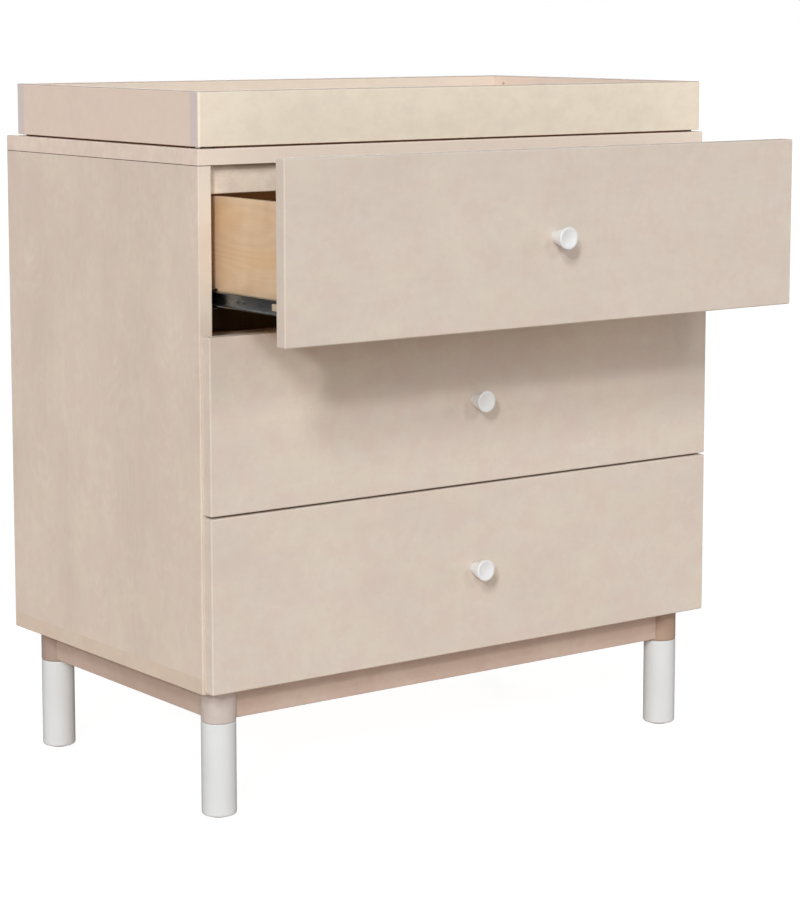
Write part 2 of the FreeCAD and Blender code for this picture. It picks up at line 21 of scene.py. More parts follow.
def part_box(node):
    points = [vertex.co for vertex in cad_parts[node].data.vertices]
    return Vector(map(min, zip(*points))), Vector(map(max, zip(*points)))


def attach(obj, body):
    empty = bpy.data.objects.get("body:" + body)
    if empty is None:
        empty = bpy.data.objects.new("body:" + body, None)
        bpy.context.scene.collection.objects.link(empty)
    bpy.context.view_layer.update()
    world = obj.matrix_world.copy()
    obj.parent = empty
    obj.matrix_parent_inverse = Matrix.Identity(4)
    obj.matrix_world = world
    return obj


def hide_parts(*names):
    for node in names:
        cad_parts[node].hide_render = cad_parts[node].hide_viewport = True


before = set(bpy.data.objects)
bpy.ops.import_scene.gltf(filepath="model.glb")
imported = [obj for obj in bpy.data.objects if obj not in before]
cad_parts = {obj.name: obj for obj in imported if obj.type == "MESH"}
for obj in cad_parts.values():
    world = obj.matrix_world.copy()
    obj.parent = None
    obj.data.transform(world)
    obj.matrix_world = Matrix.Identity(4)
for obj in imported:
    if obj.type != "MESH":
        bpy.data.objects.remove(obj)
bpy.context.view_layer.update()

log = logging.getLogger("dresser")

Colour = tuple[float, float, float, float]
Point = tuple[float, float, float]

WHITE: Colour = (1.0, 1.0, 1.0, 1.0)
NO_SHIFT: Point = (0.0, 0.0, 0.0)
SQUARELY = (0.80, 0.96)  # how squarely a face has to look along an axis to count as an edge
SPECKS = (900.0, 900.0, 900.0)  # specks of cut fibre per metre, on edges and end grain


def tint(red: int, green: int, blue: int) -> Colour:
    """Turns a colour written from 0 to 255 into the linear colour a shader takes.

    Args:
        red: The red part.
        green: The green part.
        blue: The blue part.

    Returns:
        The linear colour with full alpha.
    """
    parts = (part / 255 for part in (red, green, blue))
    return (*(((p + 0.055) / 1.055) ** 2.4 if p > 0.04045 else p / 12.92 for p in parts), 1.0)


# ------------------------------------------------------------------ shader graph


class Grain(Enum):
    """The axis that a board's fibres run along, or that an edge or a layer faces."""

    ACROSS = 0
    DEEP = 1
    UPRIGHT = 2

    def vector(self) -> Point:
        """The axis as a unit vector."""
        return tuple(1.0 if axis == self.value else 0.0 for axis in range(3))

    def stretch(self, along: float, across: float) -> Point:
        """The count of lumps per metre on each axis, for fibres along this one."""
        return tuple(along if axis == self.value else across for axis in range(3))


@dataclass(frozen=True)
class Value:
    """A number that changes over a surface and reckons like a number in Python."""

    graph: "Graph"
    socket: bpy.types.NodeSocket

    def __add__(self, other: "Value | float") -> "Value":
        """The sum."""
        return self.graph.reckon("ADD", self, other)

    def __sub__(self, other: "Value | float") -> "Value":
        """The difference."""
        return self.graph.reckon("SUBTRACT", self, other)

    def __rsub__(self, other: float) -> "Value":
        """The difference, taken from a plain number."""
        return self.graph.reckon("SUBTRACT", other, self)

    def __mul__(self, other: "Value | float") -> "Value":
        """The product."""
        return self.graph.reckon("MULTIPLY", self, other)

    def __truediv__(self, other: "Value | float") -> "Value":
        """The quotient."""
        return self.graph.reckon("DIVIDE", self, other)

    def __rtruediv__(self, other: float) -> "Value":
        """The quotient, with a plain number divided."""
        return self.graph.reckon("DIVIDE", other, self)

    def __abs__(self) -> "Value":
        """The size without its sign."""
        return self.graph.reckon("ABSOLUTE", self)

    __radd__ = __add__
    __rmul__ = __mul__

    def sine(self) -> "Value":
        """The sine."""
        return self.graph.reckon("SINE", self)

    def rise(self, low: float, high: float) -> "Value":
        """A smooth step from 0 at low to 1 at high.

        Args:
            low: Where the step starts.
            high: Where the step ends, which may be below low for a falling step.

        Returns:
            The stepped value.
        """
        node = self.graph.add(
            "ShaderNodeMapRange",
            {"interpolation_type": "SMOOTHSTEP"},
            {"Value": self, "From Min": low, "From Max": high},
        )
        return Value(self.graph, node.outputs["Result"])


class Graph:
    """The nodes of one material, or of the world, round its output."""

    def __init__(self, owner: bpy.types.Material | bpy.types.World) -> None:
        """Clears the owner's nodes and starts with its output.

        Args:
            owner: The material or world.
        """
        self.owner = owner
        owner.use_nodes = True
        self.tree = owner.node_tree
        self.tree.nodes.clear()
        kind = "World" if isinstance(owner, bpy.types.World) else "Material"
        self.output = self.add("ShaderNodeOutput" + kind)

    @classmethod
    def for_material(cls, name: str) -> Self:
        """Starts a new material of this name."""
        return cls(bpy.data.materials.new(name))

    def add(
        self,
        kind: str,
        settings: Mapping[str, Any] | None = None,
        sockets: Mapping[str | int, Any] | None = None,
    ) -> bpy.types.Node:
        """Adds one node.

        Args:
            kind: The node's type.
            settings: Its settings, such as a Math node's operation, set first.
            sockets: What its input sockets hold or are linked to.

        Returns:
            The node.
        """
        node = self.tree.nodes.new(kind)
        for name, setting in (settings or {}).items():
            setattr(node, name, setting)
        for name, given in (sockets or {}).items():
            if isinstance(given, Value):
                given = given.socket
            if isinstance(given, bpy.types.NodeSocket):
                self.tree.links.new(given, node.inputs[name])
            else:
                node.inputs[name].default_value = given
        return node

    def reckon(self, operation: str, *given: Value | float) -> Value:
        """One step of arithmetic.

        Args:
            operation: The Math node's operation.
            given: The values and numbers it works on.

        Returns:
            Its result.
        """
        node = self.add("ShaderNodeMath", {"operation": operation}, dict(enumerate(given)))
        return Value(self, node.outputs[0])

    def place(self) -> bpy.types.NodeSocket:
        """The point of the surface, in the frame of the solids."""
        return self.add("ShaderNodeTexCoord").outputs["Object"]

    def facing(self, direction: Point) -> Value:
        """How squarely the surface faces along a direction, either way.

        Args:
            direction: The direction, as a unit vector.

        Returns:
            From 0 where the surface lies along it to 1 where it faces it.
        """
        normal = self.add("ShaderNodeTexCoord").outputs["Normal"]
        dot = self.add(
            "ShaderNodeVectorMath", {"operation": "DOT_PRODUCT"}, {0: normal, 1: direction}
        )
        return abs(Value(self, dot.outputs["Value"]))

    def part_of_place(self, axis: int) -> Value:
        """One coordinate of the point of the surface."""
        parts = self.add("ShaderNodeSeparateXYZ", None, {0: self.place()})
        return Value(self, parts.outputs[axis])

    def mapped(self, scale: Point, shift: Point = NO_SHIFT) -> bpy.types.NodeSocket:
        """The point of the surface, scaled and then shifted.

        Args:
            scale: How much it is scaled along each axis.
            shift: How far it is then moved.

        Returns:
            The new point.
        """
        node = self.add(
            "ShaderNodeMapping",
            {"vector_type": "POINT"},
            {"Vector": self.place(), "Location": shift, "Scale": scale},
        )
        return node.outputs["Vector"]

    def noise(self, vector: bpy.types.NodeSocket, detail: float, roughness: float = 0.5) -> Value:
        """Cloudy noise of about one lump per unit of its vector.

        Args:
            vector: Where to take it.
            detail: How many finer layers it has.
            roughness: How strong the finer layers are.

        Returns:
            The noise, about 0.5 on the whole.
        """
        node = self.add(
            "ShaderNodeTexNoise",
            None,
            {"Vector": vector, "Scale": 1.0, "Detail": detail, "Roughness": roughness},
        )
        return Value(self, node.outputs["Fac"])

    def blend(self, factor: Value | float, first: Any, second: Any) -> bpy.types.NodeSocket:
        """Mixes two colours.

        Args:
            factor: How much of the second there is.
            first: The first colour or its socket.
            second: The second colour or its socket.

        Returns:
            The mixed colour.
        """
        node = self.add(
            "ShaderNodeMix",
            {"data_type": "RGBA", "blend_type": "MIX", "clamp_factor": True},
            {0: factor, 6: first, 7: second},
        )
        return node.outputs[2]

    def bump(self, height: Value, depth: float, strength: float) -> bpy.types.NodeSocket:
        """A normal that follows a height.

        Args:
            height: The height, from 0 to 1.
            depth: The real height of one unit.
            strength: How much of the bump shows.

        Returns:
            The normal.
        """
        node = self.add(
            "ShaderNodeBump", None, {"Height": height, "Distance": depth, "Strength": strength}
        )
        return node.outputs["Normal"]

    def mixed(
        self,
        factor: bpy.types.NodeSocket,
        first: bpy.types.NodeSocket,
        second: bpy.types.NodeSocket,
    ) -> bpy.types.NodeSocket:
        """Mixes two shaders.

        Args:
            factor: How much of the second there is.
            first: The first shader.
            second: The second shader.

        Returns:
            The mixed shader.
        """
        node = self.add("ShaderNodeMixShader", None, {0: factor, 1: first, 2: second})
        return node.outputs[0]

    def close(self, shader: bpy.types.NodeSocket) -> None:
        """Gives the output its shader."""
        self.tree.links.new(shader, self.output.inputs["Surface"])

    def surface(self, **sockets: Any) -> bpy.types.Material:
        """Closes the material with its surface shader.

        Args:
            sockets: The shader's sockets, their names written with underscores.

        Returns:
            The material.
        """
        named = {name.replace("_", " "): given for name, given in sockets.items()}
        self.close(self.add("ShaderNodeBsdfPrincipled", None, named).outputs[0])
        return self.owner


# ---------------------------------------------------------------------- finishes


# Edge tones: the real tone of edge bands and end grain; on the case's sides and top also painted
# light.
@dataclass(frozen=True)
class EdgeToneAndLight:
    """The edges of a board, where they have a tone of their own.

    Attributes:
        faces: The axis that the edges face along, either way.
        pale: Their lighter tone.
        deep: Their darker tone.
        foot: The height from which the tone shows. Where it stands above the floor, the paler
            edge above it is painted light.
        fade: How far above and below the foot it fades in.
    """

    faces: Grain
    pale: Colour = tint(225, 215, 211)
    deep: Colour = tint(211, 199, 196)
    foot: float = 0.0
    fade: float = 0.03


@dataclass(frozen=True)
class Wood:
    """What every wooden finish knows of its board.

    Attributes:
        grain: The way its fibres run.
        shift: The place in the log that it was cut from, which gives it its own figure.
    """

    grain: Grain
    shift: Point = NO_SHIFT

    def lumps(
        self, g: Graph, along: float, across: float, detail: float, roughness: float = 0.5
    ) -> Value:
        """Noise that is drawn out along the grain.

        Args:
            g: The finish's nodes.
            along: How many lumps a metre has along the grain.
            across: How many it has across the grain.
            detail: How many finer layers the noise has.
            roughness: How strong the finer layers are.

        Returns:
            The noise, about 0.5 on the whole.
        """
        return g.noise(g.mapped(self.grain.stretch(along, across), self.shift), detail, roughness)

    def specks(self, g: Graph) -> Value:
        """The fine specks of cut fibres."""
        return g.noise(g.mapped(SPECKS, self.shift), 2.0)


@dataclass(frozen=True)
class WashedBirch(Wood):
    """Birch under a thin white wash and a satin lacquer.

    The wash leaves a cloudy, slightly pink face, with the figure of the birch faint under it:
    long loops along the grain, short curls across it, and fine fibres.

    Attributes:
        pale: The lighter tone of the face.
        deep: The darker tone of the face.
        cream: The tone of its yellower patches.
        creaminess: How much those patches show at full figure.
        blush: The tone of its pinker patches.
        rosiness: How much those patches show at full figure.
        blush_shift: Where the pinker patches lie in their own noise.
        pore: The tone of its pores.
        figure: How strongly the whole figure shows.
        edge: The tone of its edges, where they have one of their own: the real tone of an edge
            band or end grain, and on the case partly painted light.
        shade_line: The height of a thin dark line, where there is one: at a glued joint partly
            glue and partly painted shade of its groove, along an eased edge painted shade.
        shade_line_tone: The line's tone, a painted shade.
        shade_line_half: Half the line's width.
        roughness: How matt the lacquer is.
        relief: How deep its fibres lie.
    """

    pale: Colour = tint(227, 219, 208)
    deep: Colour = tint(208, 196, 184)
    cream: Colour = tint(226, 217, 197)
    creaminess: float = 0.64
    blush: Colour = tint(218, 198, 188)
    rosiness: float = 0.70
    blush_shift: Point = (4.1, 7.7, 1.9)
    pore: Colour = tint(176, 152, 134)
    figure: float = 0.72
    edge: EdgeToneAndLight | None = None
    shade_line: float | None = None
    shade_line_tone: Colour = tint(96, 72, 56)
    shade_line_half: float = 0.0003
    roughness: float = 0.48
    relief: float = 0.00022

    def material(self, name: str) -> bpy.types.Material:
        """Makes the finish.

        Args:
            name: The material's name.

        Returns:
            The material.
        """
        g = Graph.for_material(name)
        lumps = partial(self.lumps, g)
        cloud = lumps(4.2, 8.5, 2.0)
        patch = lumps(11.0, 17.0, 4.0, 0.6)
        mottle = lumps(52.0, 62.0, 3.0, 0.6)
        fibre = lumps(16.0, 300.0, 4.0, 0.65)
        hair = lumps(60.0, 1100.0, 2.0)
        loops = (lumps(0.9, 5.5, 1.5, 0.4) * 190.0 + (patch - 0.5) * 7.0).sine()
        along = g.part_of_place(self.grain.value)
        curl = ((along * 260.0) + (patch * 34.0) + (cloud * 30.0)).sine()
        curled = patch.rise(0.48, 0.62)

        figure = (
            (cloud - 0.5) * 0.85
            + (patch - 0.5) * 0.46
            + (mottle - 0.5) * 0.36
            + (fibre - 0.5) * 0.22
            + (hair - 0.5) * 0.12
            + loops * 0.03
            + curl * curled * 0.10
        )
        tone = 0.5 + figure * self.figure
        face = g.blend(tone, self.deep, self.pale)
        warm = lumps(9.0, 14.0, 4.0, 0.7).rise(0.34, 0.68)
        face = g.blend(warm * (self.creaminess * self.figure), face, self.cream)
        rose = g.mapped(self.grain.stretch(26.0, 34.0), self.blush_shift)
        pink = g.noise(rose, 4.0, 0.7).rise(0.36, 0.68)
        face = g.blend(pink * (self.rosiness * self.figure), face, self.blush)
        pores = lumps(70.0, 1500.0, 1.0).rise(0.66, 0.74)
        face = g.blend(pores * 0.06, face, self.pore)
        height = g.part_of_place(Grain.UPRIGHT.value)
        # Edge tone above its foot: real edge band or end grain, and on the case painted light.
        if self.edge:
            band = self.edge
            strip = g.blend(0.5 * self.specks(g) + 0.5 * tone, band.deep, band.pale)
            shown = g.facing(band.faces.vector()).rise(*SQUARELY)
            above = height.rise(band.foot - band.fade, band.foot + band.fade)
            face = g.blend(shown * above, face, strip)
        # A thin dark line at one height: painted shade, partly glue where it marks a joint.
        if self.shade_line is not None:
            off = abs(height - self.shade_line)
            shade_line = off.rise(2 * self.shade_line_half, self.shade_line_half)
            face = g.blend(shade_line, face, self.shade_line_tone)
        relief = fibre * 0.5 + hair * 0.3 + mottle * 0.2 - pores * 0.4
        return g.surface(
            Base_Color=face,
            Roughness=self.roughness + (fibre - 0.5) * 0.16 + (cloud - 0.5) * 0.12,
            Normal=g.bump(relief, self.relief, 0.35),
        )


@dataclass(frozen=True)
class DrawerBirch(Wood):
    """Clear-lacquered birch of the drawer boxes, warm and lightly figured.

    Attributes:
        pale: The lighter tone of the face.
        deep: The darker tone of the face.
        amber: The tone of its warmer streaks.
        end_pale: The lighter tone of its end grain.
        end_deep: The darker tone of its end grain.
        roughness: How matt the lacquer is.
        relief: How deep its fibres lie.
    """

    pale: Colour = tint(233, 207, 174)
    deep: Colour = tint(208, 173, 136)
    amber: Colour = tint(222, 183, 136)
    end_pale: Colour = tint(208, 170, 124)
    end_deep: Colour = tint(182, 142, 98)
    roughness: float = 0.42
    relief: float = 0.0002

    def material(self, name: str) -> bpy.types.Material:
        """Makes the finish.

        Args:
            name: The material's name.

        Returns:
            The material.
        """
        g = Graph.for_material(name)
        lumps = partial(self.lumps, g)
        cloud = lumps(6.0, 9.0, 2.0)
        patch = lumps(14.0, 24.0, 3.0, 0.6)
        fibre = lumps(10.0, 330.0, 4.0, 0.65)
        hair = lumps(60.0, 1300.0, 2.0)
        loops = (lumps(1.6, 8.0, 1.5, 0.4) * 150.0 + (patch - 0.5) * 4.0).sine()
        along = g.part_of_place(self.grain.value)
        curl = (along * 150.0 + cloud * 26.0).sine()
        flame = lumps(15.0, 2.5, 3.0)
        tone = (
            0.5
            + (cloud - 0.5) * 0.6
            + (flame - 0.5) * 1.3
            + (patch - 0.5) * 0.45
            + (fibre - 0.5) * 0.5
            + (hair - 0.5) * 0.25
            + loops * 0.09
            + curl * 0.05
        )
        face = g.blend(tone, self.deep, self.pale)
        face = g.blend(lumps(5.0, 30.0, 3.0).rise(0.45, 0.7) * 0.5, face, self.amber)
        across = g.facing(self.grain.vector()).rise(*SQUARELY)
        face = g.blend(across, face, g.blend(self.specks(g), self.end_deep, self.end_pale))
        return g.surface(
            Base_Color=face,
            Roughness=self.roughness + (fibre - 0.5) * 0.16,
            Normal=g.bump(fibre * 0.6 + hair * 0.4, self.relief, 0.4),
        )


@dataclass(frozen=True)
class ThinPly(Wood):
    """Thin plywood of the drawer bottoms and the back, its layers showing at its edges.

    Attributes:
        lies: The axis that runs through its layers.
        start: Where its first layer starts on that axis.
        layer: How thick a layer is.
        pale: The lighter tone of the face.
        deep: The darker tone of the face.
        edge_pale: The tone of the layers cut along their fibres.
        edge_deep: The tone of the layers cut across their fibres.
        roughness: How matt the bare wood is.
        relief: How deep its fibres lie.
    """

    lies: Grain = Grain.UPRIGHT
    start: float = 0.0
    layer: float = 0.002
    pale: Colour = tint(226, 203, 168)
    deep: Colour = tint(200, 171, 131)
    edge_pale: Colour = tint(216, 188, 146)
    edge_deep: Colour = tint(174, 134, 92)
    roughness: float = 0.58
    relief: float = 0.0002

    def material(self, name: str) -> bpy.types.Material:
        """Makes the finish.

        Args:
            name: The material's name.

        Returns:
            The material.
        """
        g = Graph.for_material(name)
        lumps = partial(self.lumps, g)
        cloud = lumps(2.5, 8.0, 3.0)
        fibre = lumps(6.0, 260.0, 4.0, 0.65)
        loops = (lumps(0.7, 5.0, 1.5, 0.4) * 210.0 + (cloud - 0.5) * 8.0).sine()
        tone = cloud + (fibre - 0.5) * 0.7 + loops * 0.12
        face = g.blend(tone, self.deep, self.pale)
        through = (g.part_of_place(self.lies.value) - self.start) / self.layer
        layers = (through * math.pi).sine().rise(-0.25, 0.25)
        edge = g.blend(layers, self.edge_deep, self.edge_pale)
        face = g.blend(g.facing(self.lies.vector()).rise(0.5, 0.8), edge, face)
        return g.surface(
            Base_Color=face,
            Roughness=self.roughness + (fibre - 0.5) * 0.14,
            Normal=g.bump(fibre, self.relief, 0.4),
        )


@dataclass(frozen=True)
class SatinPaint:
    """Sprayed satin paint over turned wood: very slightly uneven, with a soft sheen.

    Attributes:
        colour: Its tone where it lies full.
        worn: Its tone where it lies thin.
        roughness: How matt it is.
        relief: How deep the texture of its film is.
    """

    colour: Colour = tint(225, 229, 230)
    worn: Colour = tint(219, 223, 224)
    roughness: float = 0.36
    relief: float = 0.00012

    def material(self, name: str) -> bpy.types.Material:
        """Makes the finish.

        Args:
            name: The material's name.

        Returns:
            The material.
        """
        g = Graph.for_material(name)
        film = g.noise(g.mapped((22.0, 22.0, 14.0)), 3.0)
        peel = g.noise(g.mapped((620.0, 620.0, 620.0)), 2.0)
        grain = g.noise(g.mapped((480.0, 480.0, 22.0)), 2.0)
        return g.surface(
            Base_Color=g.blend(film.rise(0.3, 0.7) * 0.7 + peel * 0.2, self.worn, self.colour),
            Roughness=self.roughness + (film - 0.5) * 0.10 + (peel - 0.5) * 0.06,
            Normal=g.bump(peel * 0.7 + grain * 0.3, self.relief, 0.35),
        )


@dataclass(frozen=True)
class PlatedSteel:
    """Rolled and plated steel, drawn along the slides, with a faint spangle.

    Attributes:
        colour: Its brighter tone.
        dull: Its duller tone.
        roughness: How matt it is.
        relief: How deep the lines of its rolling are.
    """

    colour: Colour = tint(150, 153, 158)
    dull: Colour = tint(112, 116, 122)
    roughness: float = 0.30
    relief: float = 0.00006

    def material(self, name: str) -> bpy.types.Material:
        """Makes the finish.

        Args:
            name: The material's name.

        Returns:
            The material.
        """
        g = Graph.for_material(name)
        drawn = g.noise(g.mapped((900.0, 9.0, 900.0)), 3.0)
        bloom = g.noise(g.mapped((70.0, 26.0, 70.0)), 3.0)
        spangle = g.add(
            "ShaderNodeTexVoronoi",
            None,
            {"Vector": g.mapped((420.0, 420.0, 420.0)), "Scale": 1.0},
        )
        cell = Value(g, spangle.outputs["Distance"])
        tone = 0.5 + (drawn - 0.5) * 0.8 + (bloom - 0.5) * 0.9 + (cell - 0.4) * 0.25
        return g.surface(
            Base_Color=g.blend(tone, self.dull, self.colour),
            Metallic=1.0,
            Roughness=self.roughness + (bloom - 0.5) * 0.24 + (drawn - 0.5) * 0.12,
            Normal=g.bump(drawn, self.relief, 0.3),
        )


@dataclass(frozen=True)
class MouldedPlastic:
    """Moulded plastic, or pressed felt, with a faint texture.

    Attributes:
        colour: Its lighter tone.
        shade: Its darker tone.
        roughness: How matt it is.
        relief: How deep the texture is.
    """

    colour: Colour
    shade: Colour
    roughness: float
    relief: float = 0.00008

    def material(self, name: str) -> bpy.types.Material:
        """Makes the finish.

        Args:
            name: The material's name.

        Returns:
            The material.
        """
        g = Graph.for_material(name)
        flow = g.noise(g.mapped((120.0, 60.0, 120.0)), 3.0)
        texture = g.noise(g.mapped((2600.0, 2600.0, 2600.0)), 2.0)
        return g.surface(
            Base_Color=g.blend(flow, self.shade, self.colour),
            Roughness=self.roughness + (flow - 0.5) * 0.16,
            Normal=g.bump(texture, self.relief, 0.3),
        )


# ------------------------------------------------------------------- making pieces


def dress(node: str, material: bpy.types.Material) -> None:
    """Gives a solid of the frame its finish.

    Args:
        node: The solid's name.
        material: The finish.
    """
    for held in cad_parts[node].material_slots:
        held.material = material
    log.info("%s takes %s", node, material.name)


class Workpiece:
    """A mesh in the making, in the frame of the solids."""

    def __init__(self) -> None:
        """Starts with nothing."""
        self.mesh = bmesh.new()

    def drawn(self, outline: Sequence[tuple[float, float]], start: Point, length: float) -> Self:
        """Draws an outline out along +Y, capped at both ends.

        Args:
            outline: The outline's points, their X and Z from the start.
            start: Where the outline stands.
            length: How far it is drawn.

        Returns:
            The workpiece.
        """
        x, y, z = start
        rings = [
            [self.mesh.verts.new((x + a, y + reach, z + b)) for a, b in outline]
            for reach in (0.0, length)
        ]
        self._skin(rings)
        for ring in rings:
            bmesh.ops.triangulate(self.mesh, faces=[self.mesh.faces.new(ring)])
        return self

    def turned(
        self, profile: Sequence[tuple[float, float]], foot: Point, axis: Point, steps: int
    ) -> Self:
        """Turns a profile about an axis.

        Args:
            profile: The radius and height of each point, with no radius of nothing.
            foot: Where the axis starts.
            axis: The way it points.
            steps: How many sides the turned piece has.

        Returns:
            The workpiece.
        """
        turn = Vector((0, 0, 1)).rotation_difference(Vector(axis)).to_matrix().to_4x4()
        place = Matrix.Translation(foot) @ turn
        rings = []
        for radius, height in profile:
            angles = (2 * math.pi * step / steps for step in range(steps))
            points = ((radius * math.cos(a), radius * math.sin(a), height) for a in angles)
            rings.append([self.mesh.verts.new(place @ Vector(point)) for point in points])
        self._skin(rings)
        for ring in (rings[0], rings[-1]):
            self.mesh.faces.new(ring)
        return self

    def block(self, low: Point, high: Point, ease: float) -> Self:
        """Adds a block with eased edges.

        Args:
            low: Its lowest corner.
            high: Its highest corner.
            ease: How far its edges are eased.

        Returns:
            The workpiece.
        """
        middle = (Vector(low) + Vector(high)) / 2
        size = Vector(high) - Vector(low)
        place = Matrix.Translation(middle) @ Matrix.Diagonal((*size, 1.0))
        made = bmesh.ops.create_cube(self.mesh, size=1.0, matrix=place)["verts"]
        edges = list({edge for vert in made for edge in vert.link_edges})
        bmesh.ops.bevel(
            self.mesh, geom=edges, offset=ease, segments=3, profile=0.5, affect="EDGES"
        )
        return self

    def _skin(self, rings: Sequence[Sequence[bmesh.types.BMVert]]) -> None:
        """Joins each ring of points to the next.

        Args:
            rings: The rings, each with the same count of points.
        """
        for ring, following in zip(rings, rings[1:]):
            count = len(ring)
            for i in range(count):
                j = (i + 1) % count
                self.mesh.faces.new((ring[i], ring[j], following[j], following[i]))

    def done(
        self, name: str, body: str, slot: str, material: bpy.types.Material, crease: float = 32.0
    ) -> bpy.types.Object:
        """Turns the workpiece into a piece of the dresser.

        Args:
            name: The piece's name.
            body: The body that carries it.
            slot: The slot that its finish belongs to. It is not used.
            material: Its finish.
            crease: Edges that turn by more than this many degrees stay crisp.

        Returns:
            The piece.
        """
        bmesh.ops.recalc_face_normals(self.mesh, faces=self.mesh.faces)
        mesh = bpy.data.meshes.new(name)
        self.mesh.to_mesh(mesh)
        self.mesh.free()
        mesh.shade_smooth()
        mesh.set_sharp_from_angle(angle=math.radians(crease))
        mesh.materials.append(material)
        piece = bpy.data.objects.new(name, mesh)
        bpy.context.scene.collection.objects.link(piece)
        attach(piece, body)
        log.info("%s made, on %s", name, body)
        return piece


# ------------------------------------------------------------------ sub-assemblies


@dataclass
class CaseShell:
    """The panels and rails of the case.

    Attributes:
        back_layer: How thick a layer of the back's plywood is.
        painted_light_foot: The height from which the sides' edge strips look paler: painted light
            where the open drawer's shade falls.
    """

    back_layer: float = 0.002
    painted_light_foot: float = 0.66

    def dress_panels(self) -> None:
        """Gives every panel its own run of veneer."""
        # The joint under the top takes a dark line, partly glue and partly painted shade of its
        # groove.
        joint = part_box("top_panel")[0].z
        # The sides' front edges are paler above the foot: painted light where the open drawer's
        # shade falls.
        strip = EdgeToneAndLight(Grain.DEEP, tint(246, 236, 222), tint(234, 221, 204), self.painted_light_foot)
        sides = {"left_side_panel": (1.7, 0.4, 2.2), "right_side_panel": (6.1, 3.3, 0.8)}
        for node, shift in sides.items():
            side = WashedBirch(
                Grain.UPRIGHT,
                shift,
                pale=tint(241, 228, 214),
                deep=tint(201, 186, 172),
                cream=tint(230, 219, 200),
                blush=tint(223, 202, 190),
                edge=strip,
                shade_line=joint,
            )
            dress(node, side.material(node + "_veneer"))
        # The top's pale tones and paler front edge are partly painted light where the open
        # drawer's shade falls.
        top = WashedBirch(
            Grain.ACROSS,
            (2.4, 5.2, 3.1),
            pale=tint(247, 232, 219),
            deep=tint(230, 208, 194),
            edge=EdgeToneAndLight(Grain.DEEP, tint(252, 240, 226), tint(240, 223, 208)),
            shade_line=joint,
        )
        dress("top_panel", top.material("top_panel_veneer"))
        bottom = WashedBirch(
            Grain.ACROSS, (8.2, 1.4, 4.6), pale=tint(230, 213, 194), deep=tint(212, 191, 169)
        )
        dress("bottom_panel", bottom.material("bottom_panel_veneer"))

    def dress_rails(self) -> None:
        """Gives the rail under the top and the dividers their veneer."""
        # The rail under the top is painted paler: painted light that lifts the shade the top
        # casts on it.
        high = (3.3, 2.2, 7.5)
        rail = WashedBirch(Grain.ACROSS, high, tint(255, 243, 227), tint(247, 226, 205))
        dress("top_front_rail", rail.material("top_front_rail_veneer"))
        # The dividers are painted darker: painted shade in the gaps between the drawer fronts.
        dividers = {"upper_divider_rail": (5.8, 2.9, 1.3), "lower_divider_rail": (0.6, 9.1, 2.7)}
        for node, shift in dividers.items():
            rail = WashedBirch(Grain.ACROSS, shift, tint(214, 196, 176), tint(194, 170, 146))
            dress(node, rail.material(node + "_veneer"))

    def dress_back(self) -> None:
        """Finishes the back panel and the dowels."""
        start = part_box("back_panel")[0].y
        ply = ThinPly(Grain.UPRIGHT, lies=Grain.DEEP, start=start, layer=self.back_layer)
        dress("back_panel", ply.material("back_ply"))
        dowel = DrawerBirch(Grain.UPRIGHT, (3.0, 1.0, 2.0))
        dress("case_dowels", dowel.material("dowel_beech"))


@dataclass
class LegFrame:
    """The four legs, the rails between them and their fittings.

    Attributes:
        lit_and_shaded_post_tones: The paler and deeper tone of the wooden post at each corner,
            with painted light and shade: one birch, paler or deeper by how light falls at each
            corner.
        lit_and_shaded_rail_tones: The same for the rails, by the way that they run, with painted
            light and shade: the front and back rails and the side rails are one birch.
    """

    # Painted light and shade: the same birch, toned per corner by how light falls there.
    lit_and_shaded_post_tones: dict[str, tuple[Colour, Colour]] = field(
        default_factory=lambda: {
            "front_left": (tint(212, 202, 196), tint(194, 181, 173)),
            "front_right": (tint(180, 156, 137), tint(164, 136, 116)),
            "back_left": (tint(180, 160, 149), tint(163, 141, 129)),
            "back_right": (tint(204, 186, 174), tint(187, 166, 153)),
        }
    )
    # Painted light and shade: one birch, toned by the way each rail faces the light.
    lit_and_shaded_rail_tones: dict[Grain, tuple[Colour, Colour]] = field(
        default_factory=lambda: {
            Grain.ACROSS: (tint(210, 191, 177), tint(190, 165, 149)),
            Grain.DEEP: (tint(205, 186, 172), tint(185, 161, 146)),
        }
    )

    def dress_legs(self) -> None:
        """Finishes posts, feet, bolts and glides."""
        paint = SatinPaint().material("foot_paint")
        for turn, (corner, (pale, deep)) in enumerate(self.lit_and_shaded_post_tones.items()):
            shift = (1.3 * turn + 0.4, 2.1 * turn, 0.7 * turn)
            post = WashedBirch(Grain.UPRIGHT, shift, pale, deep, cream=pale, blush=deep)
            dress(corner + "_leg_post", post.material(corner + "_post_birch"))
            dress(corner + "_foot", paint)
        dress("leg_bolts", PlatedSteel(roughness=0.34).material("bolt_zinc"))
        nylon = MouldedPlastic(tint(150, 150, 148), tint(134, 134, 132), 0.5)
        dress("floor_glides", nylon.material("glide_nylon"))

    def dress_rails(self) -> None:
        """Finishes the rails between the legs."""
        for turn, place in enumerate(("front", "back", "left", "right")):
            grain = Grain.ACROSS if place in ("front", "back") else Grain.DEEP
            shift = (2.9 * turn + 0.7, 1.1 * turn + 3.0, 4.3)
            pale, deep = self.lit_and_shaded_rail_tones[grain]
            rail = WashedBirch(grain, shift, pale, deep, cream=pale, blush=deep)
            dress(f"base_{place}_rail", rail.material(f"base_{place}_rail_birch"))


